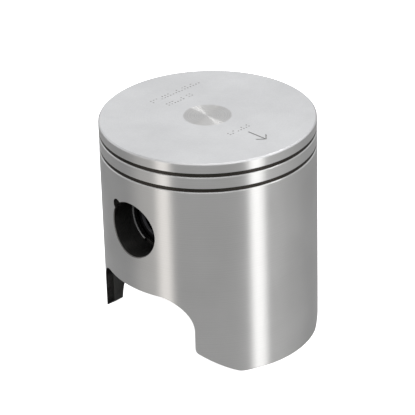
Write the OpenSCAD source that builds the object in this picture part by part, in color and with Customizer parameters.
// Two-stroke motorcycle piston with its rings, ring pegs, wrist pin and wire circlips.
// The crown faces +Z, the wrist pin lies along Y, and the intake skirt with its arch faces -X.
// The origin is on the piston's axis, level with the lower end of the exhaust skirt.

/* [Piston] */
// Diameter of the cylinder that the piston runs in
cylinder_bore = 68; // [56:0.1:84]
// Running clearance of the skirt in the cylinder, on the diameter
skirt_clearance = 0.06; // [0.04:0.01:0.12]
// Clearance of the ring lands in the cylinder, on the diameter
land_clearance = 0.2; // [0.14:0.02:0.6]
// Height from the lower end of the exhaust skirt to the crown
piston_h = 73; // [60:0.5:90]
// Thickness of the crown
crown_t = 6.5; // [4:0.5:9]
// Size of the chamfer round the crown
crown_chamfer = 0.5; // [0.2:0.1:1]
// Radius of the fillet under the crown
crown_fillet_r = 5; // [2:0.5:7]
// Diameter of the turned dish in the middle of the crown
dish_d = 15; // [8:0.5:24]
// Depth of the dish in its middle
dish_depth = 0.25; // [0.1:0.05:1]

/* [Skirts] */
// Wall thickness of the skirts
skirt_wall = 2.4; // [1.8:0.1:3.5]
// Size of the chamfer inside the open end of the skirts
skirt_end_chamfer = 0.8; // [0.3:0.1:1.5]
// Wall thickness behind the ring grooves
belt_wall = 3.2; // [2:0.1:5]
// Height of the thick wall below the lower ring groove
belt_below_grooves = 5; // [2:0.5:8]
// Height over which the thick wall tapers into the skirt
belt_taper_h = 8; // [4:0.5:14]
// Width of the cutaway between the skirts, on each pin side
cutaway_w = 40.1; // [32:0.1:50]
// Wall left between a pin bore and the cutaway below it
bore_foot = 11.2; // [7:0.1:14]
// Radius of the cutaway's upper corner beside the exhaust skirt
cutaway_corner_r = 10.8; // [6:0.1:14]
// Radius of the cutaway's upper corner beside the intake skirt
intake_corner_r = 7; // [4:0.1:12]
// Width of the bevel on each lower corner of a skirt
skirt_bevel_w = 9.6; // [5:0.1:12]
// Height of the bevel on each lower corner of a skirt
skirt_bevel_h = 7.7; // [4:0.1:10]
// Radius that blends each end of a bevel
skirt_bevel_r = 2.5; // [1:0.1:4]
// How much shorter the intake skirt is than the exhaust skirt
intake_lift = 1.45; // [0.5:0.05:3]
// Radius of the arch in the intake skirt
arch_r = 13.1; // [9:0.1:15]
// Radius of the arch's lower corners
arch_edge_r = 1.5; // [0.5:0.1:3]

/* [Rings] */
// Height of the land above the top ring
top_land_h = 3.3; // [2:0.1:5]
// Height of the land between the rings
second_land_h = 3.8; // [2:0.1:5]
// Height of a ring
ring_h = 1.2; // [0.8:0.1:2]
// Radial thickness of a ring
ring_t = 2.7; // [2:0.1:3.4]
// Clearance of a ring in its groove, above and below together
ring_side_clearance = 0.04; // [0.02:0.01:0.1]
// Room behind a closed ring
ring_back_clearance = 0.3; // [0.2:0.05:0.6]
// How far the closed ring's face stands inside the skirt's surface
ring_set_in = 0.25; // [0.05:0.05:0.4]
// Gap between the ends of a closed ring
ring_gap = 0.35; // [0.2:0.05:0.8]
// Size of the chamfer on a ring's outer edges
ring_chamfer = 0.1; // [0.05:0.05:0.2]
// Size of the chamfer on the lips of a ring groove
groove_lip = 0.15; // [0.05:0.05:0.3]

/* [Ring pegs] */
// Diameter of a peg
peg_d = 1.1; // [0.7:0.1:1.2]
// Length of a peg inside the piston's wall
peg_seat_l = 2.2; // [1.5:0.1:3]
// Length of a peg in the groove
peg_stand = 1.6; // [1:0.1:2]
// Room between a peg and the ring, on each side of the peg and at its tip
peg_play = 0.25; // [0.1:0.05:0.5]
// How much larger than its hole a peg is, on the radius
peg_bite = 0.01; // [0:0.005:0.02]
// Angle between the two pegs, seen from above
peg_spread = 50; // [30:5:80]

/* [Wrist pin] */
// Diameter of the wrist pin
pin_d = 18; // [14:0.5:22]
// Length of the wrist pin
pin_l = 47; // [39:0.5:57]
// Diameter of the hole through the wrist pin
pin_hole_d = 11.5; // [8:0.5:12]
// Size of the chamfers at the ends of the wrist pin
pin_chamfer = 0.6; // [0.2:0.1:1]
// Running clearance of the wrist pin in its bores, on the radius
pin_clearance = 0.015; // [0.01:0.005:0.05]
// Free play between the wrist pin and each circlip
pin_end_play = 0.3; // [0.1:0.05:0.6]
// Distance from the crown down to the wrist pin's axis
pin_depth = 27; // [22:0.5:33]

/* [Bosses] */
// Gap between the two bosses, where the rod's small end goes
boss_gap = 26; // [20:0.5:30]
// Wall of a boss round the pin bore
boss_wall = 5; // [4:0.5:7]
// Width of the web between a boss and the crown
boss_web_w = 24; // [16:0.5:28]
// Diameter of the oil hole below each boss
oil_hole_d = 3; // [2:0.5:4]

/* [Circlips] */
// Diameter of a circlip's wire
clip_wire_d = 1.2; // [1:0.1:1.6]
// Clearance of the wire in the width of its groove
clip_side_clearance = 0.1; // [0.05:0.05:0.3]
// Depth of a circlip groove
clip_groove_depth = 0.6; // [0.4:0.1:0.8]
// How much larger than its groove a circlip is, on the radius
clip_bite = 0.01; // [0:0.005:0.02]
// Angle left open between the ends of a circlip
clip_opening = 50; // [30:5:90]
// Radius of the notch that lets a pick behind a circlip
notch_r = 2; // [1:0.1:2.2]
// Angle of the notch above the horizontal, towards the intake side
notch_angle = 44; // [30:1:60]

/* [Hidden] */

$fn = 128;
over = 1; // how far a cut reaches past the face it opens
arch_bite = 0.001; // overlap of the arch with its edge blends, so that they cross instead of touching

skirt_r = (cylinder_bore - skirt_clearance) / 2;
land_r = (cylinder_bore - land_clearance) / 2;
skirt_in_r = skirt_r - skirt_wall;

groove_h = ring_h + ring_side_clearance;
ring_out_r = skirt_r - ring_set_in;
ring_in_r = ring_out_r - ring_t;
groove_floor_r = ring_in_r - ring_back_clearance;
top_groove_z = piston_h - top_land_h - groove_h / 2;
second_groove_z = top_groove_z - groove_h - second_land_h;
belt_in_r = groove_floor_r - belt_wall;
belt_z = second_groove_z - groove_h / 2 - belt_below_grooves;
crown_under_z = piston_h - crown_t;

peg_tip_r = groove_floor_r + peg_stand;
top_peg_angle = 180 + peg_spread / 2;
second_peg_angle = 180 - peg_spread / 2;

pin_z = piston_h - pin_depth;
pin_bore_r = pin_d / 2 + pin_clearance;
boss_r = pin_bore_r + boss_wall;
clip_groove_y = pin_l / 2 + pin_end_play;
clip_groove_w = clip_wire_d + clip_side_clearance;
clip_groove_r = pin_bore_r + clip_groove_depth;
clip_out_r = clip_groove_r + clip_bite;

cutaway_h = pin_z - pin_bore_r - bore_foot;
cutaway_top_r = min(cutaway_corner_r, cutaway_h - skirt_bevel_h);
intake_top_r = min(intake_corner_r, cutaway_h - intake_lift - skirt_bevel_h);

// Unit vector along v
function unit(v) = v / norm(v);

// What a blend of radius r takes off the solid corner at p, whose edges leave along a and b
module corner_blend(p, a, b, r) {
    u = unit(a);
    v = unit(b);
    half_angle = acos(u * v) / 2;
    reach = r / tan(half_angle);
    centre = p + unit(u + v) * r / sin(half_angle);
    outside = p - unit(u + v) * over;
    difference() {
        polygon([p + u * reach, outside, p + v * reach, centre]);
        translate(centre) circle(r = r);
    }
}

// Places its children on the wrist pin's axis, with their Z along +Y
module on_pin_axis() {
    translate([0, 0, pin_z]) rotate([-90, 0, 0]) children();
}

// Its children as drawn, and again on the other side of the plane y = 0
module both_pin_sides() {
    children();
    mirror([0, 1, 0]) children();
}

// Outer form of the piston, with a chamfer round the crown and the lands a little smaller
module outer_form() {
    step_z = second_groove_z;
    rotate_extrude() polygon([
        [0, 0],
        [skirt_r, 0],
        [skirt_r, step_z],
        [land_r, step_z],
        [land_r, piston_h - crown_chamfer],
        [land_r - crown_chamfer, piston_h],
        [0, piston_h]
    ]);
}

// Hollow under the crown: straight inside the skirts, narrower behind the rings
module hollow() {
    fillet_x = belt_in_r - crown_fillet_r;
    fillet_z = crown_under_z - crown_fillet_r;
    rotate_extrude() {
        polygon([
            [0, -over],
            [skirt_in_r + skirt_end_chamfer + over, -over],
            [skirt_in_r, skirt_end_chamfer],
            [skirt_in_r, belt_z - belt_taper_h],
            [belt_in_r, belt_z],
            [belt_in_r, fillet_z],
            [fillet_x, fillet_z],
            [fillet_x, crown_under_z],
            [0, crown_under_z]
        ]);
        translate([fillet_x, fillet_z]) intersection() {
            circle(r = crown_fillet_r);
            square(crown_fillet_r);
        }
    }
}

// The two bosses, each hung from the crown by its web
module bosses() {
    length = skirt_r - boss_gap / 2;
    intersection() {
        both_pin_sides() on_pin_axis() translate([0, 0, boss_gap / 2]) linear_extrude(length) {
            circle(r = boss_r);
            translate([-boss_web_w / 2, -pin_depth + crown_t / 2])
                square([boss_web_w, pin_depth - crown_t / 2]);
        }
        cylinder(r = skirt_r - skirt_wall / 2, h = piston_h - crown_t / 2);
    }
}

// Ring groove with chamfered lips, centred on height z
module ring_groove(z) {
    mouth_r = skirt_r + over;
    flare = groove_h / 2 + over + groove_lip;
    translate([0, 0, z]) rotate_extrude() polygon([
        [groove_floor_r, -groove_h / 2],
        [skirt_r - groove_lip, -groove_h / 2],
        [mouth_r, -flare],
        [mouth_r, flare],
        [skirt_r - groove_lip, groove_h / 2],
        [groove_floor_r, groove_h / 2]
    ]);
}

// Hole for a ring peg, from the groove's floor into the wall
module peg_hole(z, angle) {
    rotate([0, 0, angle]) translate([groove_floor_r - peg_seat_l, 0, z]) rotate([0, 90, 0])
        cylinder(d = peg_d - 2 * peg_bite, h = peg_seat_l + over);
}

// Half outline of the cutaway between the skirts, x across the piston and y up. It stands beside a skirt
// that ends at height end_y, and it clears everything below that height as far out as end_x.
module cutaway_half(top_r, end_y, end_x) {
    side_x = cutaway_w / 2;
    corner = [side_x - top_r, cutaway_h - top_r];
    bevel_top = [side_x, end_y + skirt_bevel_h];
    bevel_foot = [side_x + skirt_bevel_w, end_y];
    translate([0, -over]) square([side_x, corner.y + over]);
    translate([0, -over]) square([corner.x, cutaway_h + over]);
    translate(corner) circle(r = top_r);
    polygon([
        [0, bevel_top.y], bevel_top, bevel_foot, [end_x, end_y], [end_x, -over], [0, -over]
    ]);
    corner_blend(bevel_top, [0, 1], bevel_foot - bevel_top, skirt_bevel_r);
    corner_blend(bevel_foot, bevel_top - bevel_foot, [1, 0], skirt_bevel_r);
}

// Cutaways on both pin sides, which leave the two skirts
module cutaways() {
    rotate([90, 0, 0]) linear_extrude(2 * (skirt_r + over), center = true) {
        cutaway_half(cutaway_top_r, 0, cutaway_w / 2 + skirt_bevel_w + over);
        mirror([1, 0]) cutaway_half(intake_top_r, intake_lift, skirt_r + over);
    }
}

// Half of the arch in the intake skirt: x along the pin, y up
module arch_half() {
    edge_y = intake_lift + arch_edge_r;
    edge_x = sqrt(pow(arch_r + arch_edge_r - arch_bite, 2) - pow(edge_y, 2));
    difference() {
        union() {
            circle(r = arch_r);
            polygon([[0, 0], [edge_x, edge_y], [edge_x, -over], [0, -over]]);
        }
        translate([edge_x, edge_y]) circle(r = arch_edge_r);
    }
}

// Arch in the intake skirt
module intake_arch() {
    rotate([90, 0, -90]) linear_extrude(skirt_r + over) {
        arch_half();
        mirror([1, 0]) arch_half();
    }
}

// Chamfer inside the intake skirt's lower end
module intake_chamfer() {
    intersection() {
        translate([-skirt_r, -skirt_r, 0])
            cube([skirt_r, 2 * skirt_r, intake_lift + skirt_end_chamfer + over]);
        translate([0, 0, intake_lift])
            cylinder(r1 = skirt_in_r + skirt_end_chamfer, r2 = skirt_in_r - over,
                h = skirt_end_chamfer + over);
    }
}

// Pin bore of one boss, with its circlip groove, notch and oil hole, on the +Y side
module pin_bore() {
    boss_mid_y = (boss_gap / 2 + clip_groove_y) / 2;
    notch_x = -pin_bore_r * cos(notch_angle);
    notch_y = -pin_bore_r * sin(notch_angle);
    on_pin_axis() cylinder(r = pin_bore_r, h = skirt_r + over);
    on_pin_axis() translate([0, 0, clip_groove_y]) cylinder(r = clip_groove_r, h = clip_groove_w);
    on_pin_axis() translate([notch_x, notch_y, clip_groove_y]) cylinder(r = notch_r, h = skirt_r);
    translate([0, boss_mid_y, pin_z - boss_r - over]) cylinder(d = oil_hole_d, h = boss_r + over);
}

module piston_body() {
    color([0.72, 0.72, 0.70]) difference() {
        union() {
            difference() {
                outer_form();
                hollow();
                intake_chamfer();
            }
            bosses();
        }
        translate([0, 0, piston_h - dish_depth]) cylinder(r1 = 0, d2 = dish_d, h = dish_depth);
        ring_groove(top_groove_z);
        ring_groove(second_groove_z);
        peg_hole(top_groove_z, top_peg_angle);
        peg_hole(second_groove_z, second_peg_angle);
        cutaways();
        intake_arch();
        both_pin_sides() pin_bore();
    }
}

// Piston ring whose ends meet at a peg, with a relief behind the gap that clears the peg
module ring(z, angle) {
    relief_w = peg_d + 2 * peg_play;
    relief_r = peg_tip_r + peg_play;
    gap_out_r = ring_out_r + over;
    top = ring_h / 2;
    translate([0, 0, z]) difference() {
        rotate_extrude() polygon([
            [ring_in_r, -top],
            [ring_out_r - ring_chamfer, -top],
            [ring_out_r, -top + ring_chamfer],
            [ring_out_r, top - ring_chamfer],
            [ring_out_r - ring_chamfer, top],
            [ring_in_r, top]
        ]);
        rotate([0, 0, angle]) {
            translate([ring_in_r - over, -relief_w / 2, -ring_h])
                cube([relief_r - ring_in_r + over, relief_w, 2 * ring_h]);
            translate([ring_in_r - over, -ring_gap / 2, -ring_h])
                cube([gap_out_r - ring_in_r + over, ring_gap, 2 * ring_h]);
        }
    }
}

module top_ring() {
    color([0.16, 0.15, 0.14]) ring(top_groove_z, top_peg_angle);
}

module second_ring() {
    color([0.16, 0.15, 0.14]) ring(second_groove_z, second_peg_angle);
}

// Peg that keeps a ring from turning, pressed into the groove's floor
module peg(z, angle) {
    rotate([0, 0, angle]) translate([groove_floor_r - peg_seat_l, 0, z]) rotate([0, 90, 0])
        cylinder(d = peg_d, h = peg_seat_l + peg_stand);
}

module top_ring_peg() {
    color([0.72, 0.58, 0.30]) peg(top_groove_z, top_peg_angle);
}

module second_ring_peg() {
    color([0.72, 0.58, 0.30]) peg(second_groove_z, second_peg_angle);
}

module wrist_pin() {
    out_r = pin_d / 2;
    hole_r = pin_hole_d / 2;
    end = pin_l / 2;
    color([0.10, 0.10, 0.11]) on_pin_axis() rotate_extrude() polygon([
        [hole_r, -end + pin_chamfer],
        [hole_r + pin_chamfer, -end],
        [out_r - pin_chamfer, -end],
        [out_r, -end + pin_chamfer],
        [out_r, end - pin_chamfer],
        [out_r - pin_chamfer, end],
        [hole_r + pin_chamfer, end],
        [hole_r, end - pin_chamfer]
    ]);
}

// Open ring of round wire in the groove on the +Y side, with its opening downwards
module circlip() {
    wire_r = clip_wire_d / 2;
    color([0.45, 0.45, 0.46])
        on_pin_axis()
        translate([0, 0, clip_groove_y + clip_groove_w / 2])
        rotate([0, 0, 90 + clip_opening / 2])
        rotate_extrude(angle = 360 - clip_opening)
        translate([clip_out_r - wire_r, 0]) circle(r = wire_r, $fn = 32);
}

module right_circlip() {
    mirror([0, 1, 0]) circlip();
}

module left_circlip() {
    circlip();
}

piston_body();
top_ring();
second_ring();
top_ring_peg();
second_ring_peg();
wrist_pin();
right_circlip();
left_circlip();
